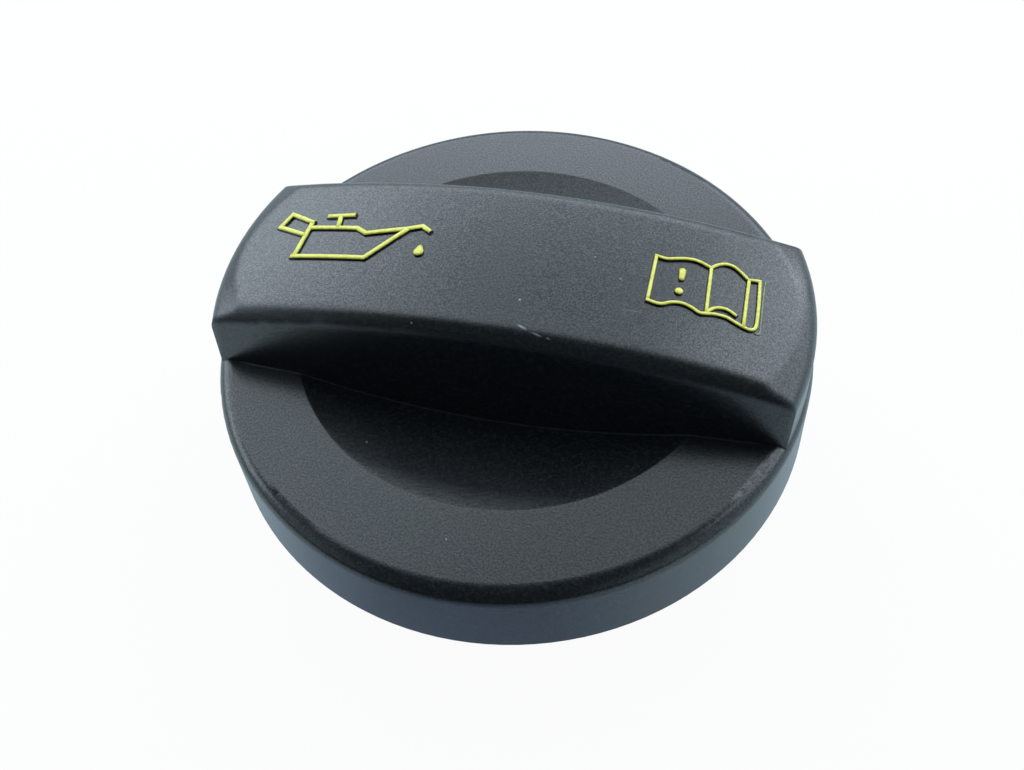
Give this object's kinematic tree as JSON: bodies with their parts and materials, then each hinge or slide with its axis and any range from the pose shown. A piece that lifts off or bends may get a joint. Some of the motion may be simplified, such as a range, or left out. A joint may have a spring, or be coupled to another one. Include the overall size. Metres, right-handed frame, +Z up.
{
  "type": "oil filler cap",
  "caption": "Quarter-turn engine oil filler cap: dished round cap with an arched grip bar, a closed bayonet neck with ramped lugs and a rubber seal ring.",
  "frame": {"origin": "centre of the flat bottom of the neck, on the cap axis", "axes": "+Z up along the cap axis from the neck to the grip bar, +X along the grip bar"},
  "size_m": [0.072, 0.072, 0.035],
  "materials": {
    "cap_moulding": "fine spark-eroded grain",
    "insert_moulding": "plain moulded",
    "seal_rubber": "smooth moulded rubber",
    "symbol_foil": "hot-stamped yellow"
  },
  "bodies": {
    "root": {"grip_cap": "cap_moulding", "bayonet_insert": "insert_moulding", "seal_ring": "seal_rubber"}
  },
  "joints": []
}
